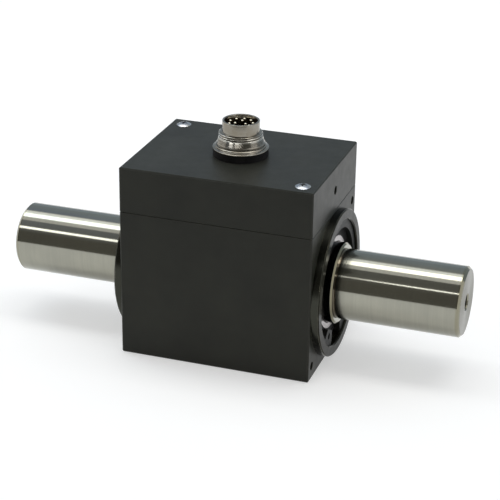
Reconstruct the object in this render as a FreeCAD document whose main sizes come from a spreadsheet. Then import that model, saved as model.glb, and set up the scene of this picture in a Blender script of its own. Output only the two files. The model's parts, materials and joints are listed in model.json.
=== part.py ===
import FreeCAD, Part
import os
import re
import Sketcher

# A contactless rotary torque sensor. The shaft lies along X, the load side is +X, and the
# connector stands up along Z. The origin is the centre of the underside of the housing.
# All lengths are in millimetres and all angles in degrees.

Vector = FreeCAD.Vector
Rotation = FreeCAD.Rotation

# Driving sizes
SIZES = {
    # housing
    "housing_length": 72.0,
    "bore_side_wall": 2.5,
    "bore_floor_wall": 2.5,
    "bore_top_wall": 2.5,
    "hood_height": 17.0,
    "edge_break": 0.4,
    "parting_break": 0.2,
    "hood_wall": 3.0,
    "hood_roof": 3.5,
    "hood_post_dia": 8.0,
    "hood_screw_inset": 5.5,
    "side_hole_dia": 3.3,
    "side_hole_height": 8.0,
    "side_hole_depth": 6.0,
    "side_boss_dia": 9.0,
    "side_boss_depth": 4.0,
    "face_hole_dia": 3.3,
    "face_hole_side_inset": 4.0,
    "face_hole_level_inset": 5.0,
    "face_hole_depth": 8.0,
    "lead_slot_length": 30.0,
    "lead_slot_width": 12.0,
    "lead_slot_place": 6.0,
    "gasket_thickness": 1.2,
    "gasket_width": 1.5,
    "gasket_inset": 0.8,
    "gasket_side_gap": 0.05,
    # hood screws
    "screw_dia": 3.0,
    "screw_length": 25.0,
    "screw_head_dia": 5.6,
    "screw_head_rim": 0.25,
    "screw_dome_height": 0.85,
    "screw_sink_gap": 0.2,
    "screw_hole_gap": 0.2,
    "screw_hole_spare": 1.5,
    "recess_length": 2.6,
    "recess_width": 0.7,
    "recess_depth": 1.1,
    # fits
    "seat_clearance": 0.02,
    # bearing carrier and its retaining ring
    "sleeve_wall": 2.0,
    "flange_lip": 1.9,
    "flange_proud": 3.0,
    "flange_chamfer": 0.4,
    "mouth_chamfer": 0.35,
    "mouth_lip": 1.0,
    "stop_lip_width": 2.0,
    "stop_lip_height": 2.5,
    "ring_thickness": 1.75,
    "ring_groove_play": 0.1,
    "ring_groove_depth": 1.25,
    "ring_groove_gap": 0.1,
    "ring_band": 3.45,
    "ring_bore_shift": 0.8,
    "ring_gap_angle": 30.0,
    "ring_ear_angle": 26.0,
    "ring_ear_overlap": 1.0,
    "ring_ear_root": 2.15,
    "ring_ear_height": 7.15,
    "ring_ear_tip_width": 6.0,
    "ring_ear_tip_radius": 2.0,
    "ring_ear_hole_dia": 2.5,
    "ring_ear_hole_depth": 4.65,
    # bearings
    "bearing_dia": 47.0,
    "bearing_bore": 30.0,
    "bearing_width": 9.0,
    "bearing_chamfer": 0.3,
    "ball_side_gap": 1.75,
    "ball_count": 12,
    "race_depth_share": 0.2,
    "race_radius_share": 0.52,
    "race_gap": 0.015,
    "cage_inner_gap": 0.8,
    "cage_outer_gap": 0.7,
    "cage_side_gap": 0.2,
    "cage_gap": 0.12,
    "seal_seat_step": 0.7,
    "seal_land_step": 0.4,
    "seal_inset": 0.3,
    "seal_thickness": 0.8,
    "seal_lip_gap": 0.06,
    "seal_lip_width": 0.9,
    "seal_bead_width": 0.8,
    "seal_dish_depth": 0.25,
    # shaft
    "shaft_length": 172.0,
    "stub_dia": 26.0,
    "stub_chamfer": 1.0,
    "shoulder_proud": 1.0,
    "shoulder_chamfer": 0.6,
    "relief_depth": 0.3,
    "relief_width": 0.6,
    "land_step": 2.0,
    "torsion_dia": 18.0,
    "torsion_length": 18.0,
    "torsion_fillet": 2.5,
    "centre_hole_dia": 6.0,
    "centre_hole_depth": 16.0,
    "centre_sink_dia": 6.6,
    # strain gauges
    "gauge_length": 8.0,
    "gauge_arc": 34.0,
    "gauge_thickness": 0.15,
    "gauge_count": 4,
    # rotary transformer
    "coil_end_gap": 0.5,
    "coil_width": 12.0,
    "coil_flange": 2.0,
    "coil_air_gap": 0.5,
    "rotor_coil_back": 1.5,
    "stator_coil_back": 1.4,
    "rotor_winding_inset": 0.4,
    "stator_winding_inset": 0.5,
    # rotor electronics
    "rotor_board_place": 13.0,
    "rotor_board_gap": 2.5,
    "board_thickness": 1.6,
    "rotor_hub_wall": 2.5,
    "rotor_hub_width": 4.0,
    "rotor_chip_length": 5.0,
    "rotor_chip_width": 4.0,
    "rotor_chip_height": 1.3,
    "rotor_chip_count": 6,
    # main board
    "board_post_gap": 0.5,
    "board_side_gap": 6.0,
    "board_roof_gap": 1.2,
    "board_hole_inset": 3.5,
    "board_hole_dia": 2.7,
    "standoff_flats": 5.0,
    "standoff_stud_dia": 2.5,
    "standoff_stud_length": 4.0,
    "standoff_bore_depth": 5.0,
    "standoff_hole_spare": 0.5,
    "board_screw_dia": 2.5,
    "board_screw_grip": 4.0,
    "board_screw_head_dia": 4.6,
    "board_screw_head_height": 1.6,
    "board_screw_round": 0.5,
    "chip_inset": 8.0,
    "chip_length": 8.0,
    "chip_width": 10.0,
    "chip_height": 1.6,
    "capacitor_dia": 6.0,
    "capacitor_height": 4.8,
    "capacitor_place_x": 13.0,
    "capacitor_place_y": 9.0,
    "choke_dia": 9.0,
    "choke_bore": 4.0,
    "choke_height": 3.5,
    "choke_place": 15.0,
    # connector
    "connector_thread_dia": 16.0,
    "connector_hole_gap": 0.1,
    "connector_seal_inset": 0.15,
    "connector_seal_gap": 0.15,
    "connector_seal_height": 2.6,
    "connector_flange_dia": 20.5,
    "connector_flange_rim": 0.7,
    "connector_bead_dia": 18.8,
    "connector_bead_height": 4.2,
    "connector_collar_dia": 17.7,
    "connector_collar_height": 5.0,
    "connector_thread_start": 6.8,
    "connector_thread_end": 8.9,
    "connector_thread_chamfer": 0.4,
    "connector_barrel_dia": 13.6,
    "connector_barrel_wall": 0.75,
    "connector_height": 13.1,
    "connector_thread_spare": 0.3,
    "insert_face_height": 5.3,
    "nut_wall": 1.5,
    "nut_thickness": 2.4,
    "pin_dia": 1.0,
    "pin_tip_inset": 0.7,
    "pin_tail": 1.3,
    "pin_tip_radius": 0.45,
    "pin_hole_gap": 0.15,
    "outer_pin_circle": 8.6,
    "outer_pin_count": 9,
    "outer_pin_turn": 12.0,
    "inner_pin_circle": 4.4,
    "inner_pin_count": 3,
    "inner_pin_turn": 96.0,
}

# Places and sizes that follow from the driving ones
PLACES = {
    # housing round the bearing carriers
    "sleeve_dia": "bearing_dia + 2 * sleeve_wall",
    "flange_dia": "sleeve_dia + 2 * flange_lip",
    "housing_width": "sleeve_dia + 2 * bore_side_wall",
    "axis_height": "sleeve_dia / 2 + bore_floor_wall",
    "block_height": "axis_height + sleeve_dia / 2 + bore_top_wall",
    "half_length": "housing_length / 2",
    "cavity_height": "hood_height - hood_roof",
    "roof_top": "block_height + hood_height",
    "hood_screw_x": "housing_length / 2 - hood_screw_inset",
    "hood_screw_y": "housing_width / 2 - hood_screw_inset",
    "screw_hole_dia": "screw_dia + 2 * screw_hole_gap",
    "screw_sink_dia": "screw_head_dia + 2 * screw_sink_gap",
    "face_hole_y": "housing_width / 2 - face_hole_side_inset",
    "face_hole_z": "axis_height - face_hole_level_inset",
    "seal_outer_length": "housing_length - 2 * gasket_inset",
    "seal_outer_width": "housing_width - 2 * gasket_inset",
    # bearings, their carriers and retaining rings
    "carrier_face": "half_length + flange_proud",
    "ring_front": "carrier_face - mouth_lip",
    "bearing_front": "ring_front - ring_thickness",
    "bearing_back": "bearing_front - bearing_width",
    "bearing_middle": "bearing_front - bearing_width / 2",
    "carrier_back": "bearing_back - stop_lip_width",
    "stop_lip_bore": "bearing_dia - 2 * stop_lip_height",
    "ring_groove_dia": "bearing_dia + 2 * ring_groove_depth",
    "ring_groove_front": "ring_front + ring_groove_play / 2",
    "ring_groove_back": "bearing_front - ring_groove_play / 2",
    "ring_dia": "ring_groove_dia - 2 * ring_groove_gap",
    "ring_bore_dia": "ring_dia - 2 * ring_band",
    "ring_ear_root_dia": "ring_dia - 2 * ring_ear_root",
    "ring_ear_tip_dia": "ring_dia - 2 * ring_ear_height",
    "ring_ear_hole_circle": "ring_dia - 2 * ring_ear_hole_depth",
    "pitch_dia": "(bearing_dia + bearing_bore) / 2",
    "ball_dia": "bearing_width - 2 * ball_side_gap",
    "race_radius": "ball_dia * race_radius_share",
    "inner_shoulder_dia": "pitch_dia - ball_dia * (1 - 2 * race_depth_share)",
    "outer_shoulder_dia": "pitch_dia + ball_dia * (1 - 2 * race_depth_share)",
    "seal_seat_dia": "outer_shoulder_dia + 2 * seal_seat_step",
    "seal_land_dia": "inner_shoulder_dia - 2 * seal_land_step",
    "seal_recess": "seal_inset + seal_thickness",
    "cage_bore": "inner_shoulder_dia + 2 * cage_inner_gap",
    "cage_dia": "outer_shoulder_dia - 2 * cage_outer_gap",
    "cage_width": "bearing_width - 2 * (seal_recess + cage_side_gap)",
    # shaft
    "shaft_end": "shaft_length / 2",
    "shoulder_face": "carrier_face + shoulder_proud",
    "relief_end": "shoulder_face + relief_width",
    "relief_dia": "stub_dia - 2 * relief_depth",
    "seat_dia": "bearing_bore - 2 * seat_clearance",
    "land_dia": "bearing_bore + 2 * land_step",
    "land_fit_dia": "land_dia + 2 * seat_clearance",
    # rotary transformer and rotor electronics
    "coil_left": "coil_end_gap - carrier_back",
    "coil_right": "coil_left + coil_width",
    "coil_gap_dia": "(land_dia + sleeve_dia) / 2",
    "rotor_coil_dia": "coil_gap_dia - coil_air_gap",
    "rotor_coil_floor_dia": "land_dia + 2 * rotor_coil_back",
    "rotor_winding_dia": "rotor_coil_dia - 2 * rotor_winding_inset",
    "stator_coil_bore": "coil_gap_dia + coil_air_gap",
    "stator_coil_floor_dia": "sleeve_dia - 2 * stator_coil_back",
    "stator_winding_bore": "stator_coil_bore + 2 * stator_winding_inset",
    "rotor_board_dia": "sleeve_dia - 2 * rotor_board_gap",
    "rotor_hub_start": "rotor_board_place + board_thickness",
    "rotor_hub_dia": "land_dia + 2 * rotor_hub_wall",
    "rotor_chip_circle": "(land_dia + rotor_board_dia) / 2",
    # main board and connector
    "connector_rear_depth": "hood_roof + nut_thickness + connector_thread_spare",
    "standoff_height": "hood_height - connector_rear_depth - board_roof_gap - board_thickness",
    "board_underside": "block_height + standoff_height",
    "board_length": "2 * (hood_screw_x - hood_post_dia / 2 - board_post_gap)",
    "board_width": "housing_width - 2 * (hood_wall + board_side_gap)",
    "board_hole_x": "board_length / 2 - board_hole_inset",
    "board_hole_y": "board_width / 2 - board_hole_inset",
    "board_screw_length": "board_thickness + board_screw_grip",
    "board_to_roof": "connector_rear_depth + board_roof_gap",
    "chip_place": "board_length / 2 - chip_inset",
    "connector_hole_dia": "connector_thread_dia + 2 * connector_hole_gap",
    "connector_seal_dia": "connector_flange_dia - 2 * connector_seal_inset",
    "connector_seal_bore": "connector_thread_dia + 2 * connector_seal_gap",
    "connector_barrel_bore": "connector_barrel_dia - 2 * connector_barrel_wall",
    "nut_flats": "connector_thread_dia + 2 * nut_wall",
    "pin_top_height": "connector_height - pin_tip_inset",
    "pin_bottom": "board_to_roof + board_thickness + pin_tail",
}

doc = FreeCAD.newDocument("torque_sensor")


def bound(formula):
    """The formula with every size and place named by the sheet that holds it."""
    def named(match):
        word = match.group(0)
        if word in SIZES:
            return "Sizes." + word
        if word in PLACES:
            return "Places." + word
        return word
    return re.sub(r"[a-z][a-z_]+", named, formula)


def fill_sheets():
    """One sheet holds the driving sizes, the other the places that follow from them."""
    sizes = doc.addObject("Spreadsheet::Sheet", "Sizes")
    for row, (name, value) in enumerate(SIZES.items(), 1):
        sizes.set(f"A{row}", name)
        sizes.set(f"B{row}", str(value))
        sizes.setAlias(f"B{row}", name)
    places = doc.addObject("Spreadsheet::Sheet", "Places")
    for row, (name, formula) in enumerate(PLACES.items(), 1):
        places.set(f"A{row}", name)
        places.setAlias(f"B{row}", name)
    for row, (name, formula) in enumerate(PLACES.items(), 1):
        places.set(f"B{row}", "=" + bound(formula).replace("Places.", ""))
    doc.recompute()


def number(formula):
    """The value that a formula has with the sheets' sizes."""
    return float(doc.getObject("Sizes").evalExpression(bound(formula)))


def half(name):
    """The radius of a named diameter."""
    return f"{name} / 2"


# Modelling steps

def new_body(name, height="0", turn=0, roll="0"):
    """A body at a height above the underside, turned about Z and rolled about X."""
    body = doc.addObject("PartDesign::Body", name)
    body.Label = name
    rotation = Rotation(Vector(0, 0, 1), turn) * Rotation(Vector(1, 0, 0), number(roll))
    body.Placement = FreeCAD.Placement(Vector(0, 0, 0), rotation)
    body.setExpression("Placement.Base.z", bound(height))
    return body


def origin_feature(body, role):
    """The origin plane or axis of a body that has the given role."""
    return next(item for item in body.Origin.OriginFeatures if item.Role == role)


def new_sketch(body, plane, offset="0", across="0", turn=0):
    """A sketch on an origin plane, moved along its normal, across it, and turned in it."""
    sketch = body.newObject("Sketcher::SketchObject", "Sketch")
    sketch.AttachmentSupport = [(origin_feature(body, plane), "")]
    sketch.MapMode = "FlatFace"
    spin = Rotation(Vector(0, 0, 1), turn)
    sketch.AttachmentOffset = FreeCAD.Placement(Vector(0, 0, 0), spin)
    sketch.setExpression("AttachmentOffset.Base.z", bound(offset))
    sketch.setExpression("AttachmentOffset.Base.x", bound(across))
    return sketch


def add_outline(sketch, corners, domed=()):
    """A closed outline whose corners are pairs of formulas.

    Its sides are straight, but a domed side is an arc that ends on the sketch's upright axis.
    """
    points = [Vector(number(across), number(up), 0) for across, up in corners]
    first = sketch.GeometryCount
    for place, point in enumerate(points):
        following = points[(place + 1) % len(points)]
        make_side = dome_arc if place in domed else Part.LineSegment
        sketch.addGeometry(make_side(point, following), False)
    for place, corner in enumerate(corners):
        side = first + place
        following = first + (place + 1) % len(corners)
        sketch.addConstraint(Sketcher.Constraint("Coincident", side, 2, following, 1))
        for kind, formula in zip(("DistanceX", "DistanceY"), corner):
            hold(sketch, formula, kind, -1, 1, side, 1)
    for place in domed:
        sketch.addConstraint(Sketcher.Constraint("PointOnObject", first + place, 3, -2))


def dome_arc(rim, top):
    """An arc from a rim up to the top of a dome whose centre lies under its top."""
    rise = top.y - rim.y
    radius = (rim.x ** 2 + rise ** 2) / (2 * rise)
    centre = Vector(0, top.y - radius, 0)
    halfway = (rim - centre) + (top - centre)
    return Part.Arc(rim, centre + halfway.normalize() * radius, top)


def add_rectangle(sketch, length, width, across="0", up="0"):
    """A rectangle of a length and width about a centre."""
    left = f"{across} - ({length}) / 2"
    right = f"{across} + ({length}) / 2"
    low = f"{up} - ({width}) / 2"
    high = f"{up} + ({width}) / 2"
    add_outline(sketch, [(left, low), (right, low), (right, high), (left, high)])


def add_circle(sketch, diameter, across="0", up="0"):
    """A circle of a diameter about a centre."""
    centre = Vector(number(across), number(up), 0)
    circle = Part.Circle(centre, Vector(0, 0, 1), number(diameter) / 2)
    curve = sketch.addGeometry(circle, False)
    hold(sketch, across, "DistanceX", -1, 1, curve, 3)
    hold(sketch, up, "DistanceY", -1, 1, curve, 3)
    hold(sketch, diameter, "Diameter", curve)


def hold(sketch, formula, kind, *geometry):
    """A dimension in a sketch that follows a formula."""
    dimension = sketch.addConstraint(Sketcher.Constraint(kind, *geometry, number(formula)))
    sketch.setExpression(f"Constraints[{dimension}]", bound(formula))


def pad(body, sketch, length, down=False):
    """Material from a sketch along its normal, or against it."""
    feature = body.newObject("PartDesign::Pad", "Pad")
    feature.Profile = sketch
    feature.setExpression("Length", bound(length))
    feature.Reversed = down
    doc.recompute()
    return feature


def pocket(body, sketch, depth=None, up=False):
    """A cut from a sketch against its normal, or along it; without a depth it goes through."""
    before = body.Shape.Volume
    feature = body.newObject("PartDesign::Pocket", "Pocket")
    feature.Profile = sketch
    feature.Reversed = up
    if depth is None:
        feature.Type = "ThroughAll"
    else:
        feature.setExpression("Length", bound(depth))
    return checked_cut(body, feature, before)


def revolve(body, sketch, axis="H_Axis", angle="360"):
    """Material turned about an axis of its sketch, half of the angle to each side."""
    feature = body.newObject("PartDesign::Revolution", "Revolution")
    feature.Profile = sketch
    feature.ReferenceAxis = (sketch, [axis])
    feature.setExpression("Angle", bound(angle))
    feature.Midplane = angle != "360"
    doc.recompute()
    return feature


def groove(body, sketch, axis="H_Axis"):
    """A full cut turned about an axis of its sketch."""
    before = body.Shape.Volume
    feature = body.newObject("PartDesign::Groove", "Groove")
    feature.Profile = sketch
    feature.ReferenceAxis = (sketch, [axis])
    return checked_cut(body, feature, before)


def checked_cut(body, feature, before):
    """The cut, once it is known to have taken material away."""
    doc.recompute()
    if feature.Shape.Volume > before - 1e-6:
        raise ValueError(f"{body.Label}: {feature.Name} cuts nothing")
    return feature


def repeat(body, features, axis, count):
    """The features repeated evenly round an origin axis of the body."""
    pattern = body.newObject("PartDesign::PolarPattern", "PolarPattern")
    pattern.Originals = features
    pattern.Axis = (origin_feature(body, axis), [""])
    pattern.Angle = 360
    pattern.setExpression("Occurrences", bound(count))
    body.Tip = pattern
    doc.recompute()
    return pattern


def mirror(body, features, plane):
    """The features mirrored in an origin plane of the body."""
    copy = body.newObject("PartDesign::Mirrored", "Mirrored")
    copy.Originals = features
    copy.MirrorPlane = (origin_feature(body, plane), [""])
    body.Tip = copy
    doc.recompute()
    return copy


def edge_names(body, wanted):
    """The names of the edges of a body's last feature that pass a test."""
    edges = body.Tip.Shape.Edges
    return [f"Edge{place}" for place, edge in enumerate(edges, 1) if wanted(edge)]


def is_rim(edge, along, place, diameter):
    """Whether an edge is a circle of a diameter whose centre lies at a place along an axis."""
    if edge.Curve.TypeId != "Part::GeomCircle":
        return False
    near_place = abs(edge.Curve.Center[along] - number(place)) < 1e-4
    return near_place and abs(edge.Curve.Radius - number(diameter) / 2) < 1e-4


def chamfer(body, size, names):
    """The named edges of the last feature bevelled by a size."""
    base = body.Tip
    feature = body.newObject("PartDesign::Chamfer", "Chamfer")
    feature.Base = (base, names)
    feature.setExpression("Size", bound(size))
    doc.recompute()
    return feature


def fillet(body, size, names):
    """The named edges of the last feature rounded by a radius."""
    base = body.Tip
    feature = body.newObject("PartDesign::Fillet", "Fillet")
    feature.Base = (base, names)
    feature.setExpression("Radius", bound(size))
    doc.recompute()
    return feature


def chamfer_rims(body, size, rims, along=0):
    """Bevels on the circular edges at pairs of a place along an axis and a diameter."""
    names = edge_names(body, lambda edge: any(is_rim(edge, along, *rim) for rim in rims))
    return chamfer(body, size, names)


def fillet_rims(body, size, rims, along=0):
    """Rounds on the circular edges at pairs of a place along an axis and a diameter."""
    names = edge_names(body, lambda edge: any(is_rim(edge, along, *rim) for rim in rims))
    return fillet(body, size, names)


def turned(name, corners, turn=0, roll="0"):
    """A body on the shaft axis, turned from an outline of places and radii."""
    body = new_body(name, "axis_height", turn, roll)
    sketch = new_sketch(body, "XZ_Plane")
    add_outline(sketch, corners)
    revolve(body, sketch)
    return body


# Housing

def box_with_broken_edges(body, height, parting_level):
    """The housing's rectangular blank, with finer bevels along the parting line."""
    sketch = new_sketch(body, "XY_Plane")
    add_rectangle(sketch, "housing_length", "housing_width")
    pad(body, sketch, height)
    level = number(parting_level)

    def at_parting(edge):
        return all(abs(vertex.Z - level) < 1e-6 for vertex in edge.Vertexes)

    chamfer(body, "edge_break", edge_names(body, lambda edge: not at_parting(edge)))
    chamfer(body, "parting_break", edge_names(body, at_parting))


def screw_corners():
    """The two housing corners, on one diagonal, that hold the hood screws."""
    return [("-hood_screw_x", "hood_screw_y"), ("hood_screw_x", "-hood_screw_y")]


def board_corners():
    """The four places where the main board is held."""
    return [(f"{x}board_hole_x", f"{y}board_hole_y") for x in ("", "-") for y in ("", "-")]


def stator_block():
    """Lower housing block with the bore for the two bearing carriers."""
    body = new_body("stator_block")
    box_with_broken_edges(body, "block_height", "block_height")

    bore = new_sketch(body, "YZ_Plane", "-half_length")
    add_circle(bore, "sleeve_dia + 2 * seat_clearance", "0", "axis_height")
    pocket(body, bore, up=True)

    face_holes = new_sketch(body, "YZ_Plane", "half_length")
    for sign in ("", "-"):
        add_circle(face_holes, "face_hole_dia", f"{sign}face_hole_y",
                   f"axis_height + {sign}face_hole_z")
    end_holes = pocket(body, face_holes, "face_hole_depth")
    repeat(body, [end_holes], "Z_Axis", "2")

    lead_slot = new_sketch(body, "XY_Plane", "block_height")
    add_rectangle(lead_slot, "lead_slot_length", "lead_slot_width", "-lead_slot_place")
    pocket(body, lead_slot, "block_height - axis_height")

    seal_groove = new_sketch(body, "XY_Plane", "block_height")
    add_rectangle(seal_groove, "seal_outer_length", "seal_outer_width")
    add_rectangle(seal_groove, "seal_outer_length - 2 * gasket_width",
                  "seal_outer_width - 2 * gasket_width")
    pocket(body, seal_groove, "gasket_thickness")

    stud_holes = new_sketch(body, "XY_Plane", "block_height")
    for x, y in board_corners():
        add_circle(stud_holes, "standoff_stud_dia + 2 * seat_clearance", x, y)
    pocket(body, stud_holes, "standoff_stud_length + standoff_hole_spare")

    screw_holes = new_sketch(body, "XY_Plane", "block_height")
    for x, y in screw_corners():
        add_circle(screw_holes, "screw_dia + 2 * seat_clearance", x, y)
    pocket(body, screw_holes, "screw_length - hood_height + screw_hole_spare")


def electronics_hood():
    """Upper housing shell over the main board, with the connector hole in its roof."""
    body = new_body("electronics_hood", "block_height")
    box_with_broken_edges(body, "hood_height", "0")

    cavity = new_sketch(body, "XY_Plane")
    add_rectangle(cavity, "housing_length - 2 * hood_wall", "housing_width - 2 * hood_wall")
    pocket(body, cavity, "cavity_height", up=True)

    posts = new_sketch(body, "XY_Plane")
    for x, y in screw_corners():
        add_circle(posts, "hood_post_dia", x, y)
    pad(body, posts, "cavity_height")

    boss = new_sketch(body, "YZ_Plane", "half_length - hood_wall - side_boss_depth")
    add_circle(boss, "side_boss_dia", "0", "side_hole_height")
    pad(body, boss, "side_boss_depth + hood_wall / 2")
    side_hole = new_sketch(body, "YZ_Plane", "half_length")
    add_circle(side_hole, "side_hole_dia", "0", "side_hole_height")
    pocket(body, side_hole, "side_hole_depth")

    openings = new_sketch(body, "XY_Plane", "hood_height")
    add_circle(openings, "connector_hole_dia")
    for x, y in screw_corners():
        add_circle(openings, "screw_hole_dia", x, y)
    pocket(body, openings)
    chamfer_rims(body, "(screw_sink_dia - screw_hole_dia) / 2",
                 [("hood_height", "screw_hole_dia")], along=2)


def hood_gasket():
    """Flat seal in the groove between the block and the hood."""
    body = new_body("hood_gasket", "block_height - gasket_thickness")
    sketch = new_sketch(body, "XY_Plane")
    outer_gap = "2 * gasket_side_gap"
    inner_gap = "2 * (gasket_width - gasket_side_gap)"
    for gap in (outer_gap, inner_gap):
        add_rectangle(sketch, f"seal_outer_length - {gap}", f"seal_outer_width - {gap}")
    pad(body, sketch, "gasket_thickness")


def hood_screws():
    """Two raised countersunk screws with a cross recess, one in each diagonal corner."""
    body = new_body("hood_screws", "roof_top")
    profile = new_sketch(body, "XZ_Plane", "-hood_screw_y", "-hood_screw_x")
    head = half("screw_head_dia")
    shank = half("screw_dia")
    cone_top = "seat_clearance - (screw_sink_dia - screw_head_dia) / 2"
    dome_side = 4
    add_outline(profile, [
        ("0", "-screw_length"),
        (shank, "-screw_length"),
        (shank, f"{cone_top} - ({head} - {shank})"),
        (head, cone_top),
        (head, f"{cone_top} + screw_head_rim"),
        ("0", "screw_dome_height"),
    ], domed=[dome_side])
    screw = revolve(body, profile, "V_Axis")
    cuts = []
    for length, width in (("recess_length", "recess_width"), ("recess_width", "recess_length")):
        slot = new_sketch(body, "XY_Plane", "screw_dome_height")
        add_rectangle(slot, length, width, "-hood_screw_x", "hood_screw_y")
        cuts.append(pocket(body, slot, "recess_depth"))
    repeat(body, [screw] + cuts, "Z_Axis", "2")


# Bearing carriers, retaining rings and bearings

def bearing_carrier(name, turn):
    """Turned sleeve that holds a bearing; its flange stands out of the housing's end face."""
    bore = "bearing_dia / 2 + seat_clearance"
    body = turned(name, [
        ("carrier_back", half("stop_lip_bore")),
        ("carrier_back", half("sleeve_dia")),
        ("half_length", half("sleeve_dia")),
        ("half_length", half("flange_dia")),
        ("carrier_face", half("flange_dia")),
        ("carrier_face", bore),
        ("bearing_back", bore),
        ("bearing_back", half("stop_lip_bore")),
    ], turn)
    ring_groove = new_sketch(body, "XZ_Plane")
    add_outline(ring_groove, [
        ("ring_groove_back", half("bearing_bore")),
        ("ring_groove_front", half("bearing_bore")),
        ("ring_groove_front", half("ring_groove_dia")),
        ("ring_groove_back", half("ring_groove_dia")),
    ])
    groove(body, ring_groove)
    chamfer_rims(body, "flange_chamfer", [("carrier_face", "flange_dia")])
    chamfer_rims(body, "mouth_chamfer", [("carrier_face", f"2 * ({bore})")])


def retaining_ring(name, turn):
    """Internal retaining ring, widest at the top, with an eyed ear on each side of its gap."""
    body = new_body(name, "axis_height", turn)
    band = new_sketch(body, "YZ_Plane", "bearing_front")
    add_circle(band, "ring_dia")
    add_circle(band, "ring_bore_dia", "0", "-ring_bore_shift")
    pad(body, band, "ring_thickness")

    ear_turn = 180 - number("ring_gap_angle + ring_ear_angle") / 2 + number("ring_ear_overlap")
    root_half_width = "ring_ear_root_dia / 2 * sin(ring_ear_angle / 2)"
    root_height = "ring_ear_root_dia / 2 * cos(ring_ear_angle / 2)"
    for side in (-1, 1):
        ear = new_sketch(body, "YZ_Plane", "bearing_front", turn=side * ear_turn)
        add_outline(ear, [
            (f"-{root_half_width}", root_height),
            ("-ring_ear_tip_width / 2", half("ring_ear_tip_dia")),
            ("ring_ear_tip_width / 2", half("ring_ear_tip_dia")),
            (root_half_width, root_height),
        ])
        pad(body, ear, "ring_thickness")
        ear_hole = new_sketch(body, "YZ_Plane", "ring_front", turn=side * ear_turn)
        add_circle(ear_hole, "ring_ear_hole_dia", "0", half("ring_ear_hole_circle"))
        pocket(body, ear_hole, "ring_thickness")

    gap = new_sketch(body, "YZ_Plane", "ring_front")
    reach = "ring_dia * sin(ring_gap_angle / 2)"
    drop = "-ring_dia * cos(ring_gap_angle / 2)"
    add_outline(gap, [("0", "0"), (f"-{reach}", drop), (reach, drop)])
    pocket(body, gap, "ring_thickness")

    def is_tip_corner(edge):
        ends = edge.Vertexes
        if len(ends) != 2 or abs(ends[0].X - ends[1].X) < 1e-6:
            return False
        return Vector(0, ends[0].Y, ends[0].Z).Length < number(half("ring_ear_hole_circle"))

    fillet(body, "ring_ear_tip_radius", edge_names(body, is_tip_corner))


def cut_raceway(body, centre_radius):
    """The ball groove round the middle of a bearing ring."""
    race = new_sketch(body, "XZ_Plane")
    add_circle(race, "2 * race_radius", "bearing_middle", centre_radius)
    groove(body, race)


def outer_ring(name, turn):
    """Bearing outer ring with its raceway and a seat for a seal on each side."""
    seal_back = "bearing_back + seal_recess"
    seal_front = "bearing_front - seal_recess"
    body = turned(name, [
        ("bearing_back", half("bearing_dia")),
        ("bearing_front", half("bearing_dia")),
        ("bearing_front", half("seal_seat_dia")),
        (seal_front, half("seal_seat_dia")),
        (seal_front, half("outer_shoulder_dia")),
        (seal_back, half("outer_shoulder_dia")),
        (seal_back, half("seal_seat_dia")),
        ("bearing_back", half("seal_seat_dia")),
    ], turn)
    cut_raceway(body, "(pitch_dia + ball_dia) / 2 + race_gap - race_radius")
    rims = [("bearing_front", "bearing_dia"), ("bearing_back", "bearing_dia")]
    chamfer_rims(body, "bearing_chamfer", rims)


def inner_ring(name, turn):
    """Bearing inner ring with its raceway and a land for each seal's lip, seated on the shaft."""
    seal_back = "bearing_back + seal_recess"
    seal_front = "bearing_front - seal_recess"
    body = turned(name, [
        ("bearing_back", half("bearing_bore")),
        ("bearing_front", half("bearing_bore")),
        ("bearing_front", half("seal_land_dia")),
        (seal_front, half("seal_land_dia")),
        (seal_front, half("inner_shoulder_dia")),
        (seal_back, half("inner_shoulder_dia")),
        (seal_back, half("seal_land_dia")),
        ("bearing_back", half("seal_land_dia")),
    ], turn)
    cut_raceway(body, "(pitch_dia - ball_dia) / 2 - race_gap + race_radius")
    rims = [("bearing_front", "bearing_bore"), ("bearing_back", "bearing_bore")]
    chamfer_rims(body, "bearing_chamfer", rims)


def bearing_seals(name, turn):
    """Two seals of one bearing, each with a bead in the outer ring, a dished web and a lip."""
    body = new_body(name, "axis_height", turn)
    sketch = new_sketch(body, "XZ_Plane")
    for face, inwards in (("bearing_front", "-"), ("bearing_back", "+")):
        add_outline(sketch, seal_outline(face, inwards))
    revolve(body, sketch)


def seal_outline(face, inwards):
    """Section of a seal set into one face of the bearing, from the lip out to the bead."""
    lip = "seal_land_dia / 2 + seal_lip_gap"
    edge = "seal_seat_dia / 2 - seat_clearance"
    outside = f"{face} {inwards} seal_inset"
    dish = f"{outside} {inwards} seal_dish_depth"
    inside = f"{outside} {inwards} (seal_thickness - seat_clearance)"
    return [
        (inside, lip),
        (outside, lip),
        (outside, f"{lip} + seal_lip_width"),
        (dish, f"{lip} + seal_lip_width + seal_dish_depth"),
        (dish, f"{edge} - seal_bead_width - seal_dish_depth"),
        (outside, f"{edge} - seal_bead_width"),
        (outside, edge),
        (inside, edge),
    ]


def ball_cage(name, turn):
    """Cage with a pocket for each ball."""
    low = "bearing_middle - cage_width / 2"
    high = "bearing_middle + cage_width / 2"
    body = turned(name, [
        (low, half("cage_bore")),
        (low, half("cage_dia")),
        (high, half("cage_dia")),
        (high, half("cage_bore")),
    ], turn)
    seat = new_sketch(body, "XY_Plane")
    add_circle(seat, "ball_dia + 2 * cage_gap", "bearing_middle")
    ball_pocket = pocket(body, seat, up=True)
    repeat(body, [ball_pocket], "X_Axis", "ball_count")


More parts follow.
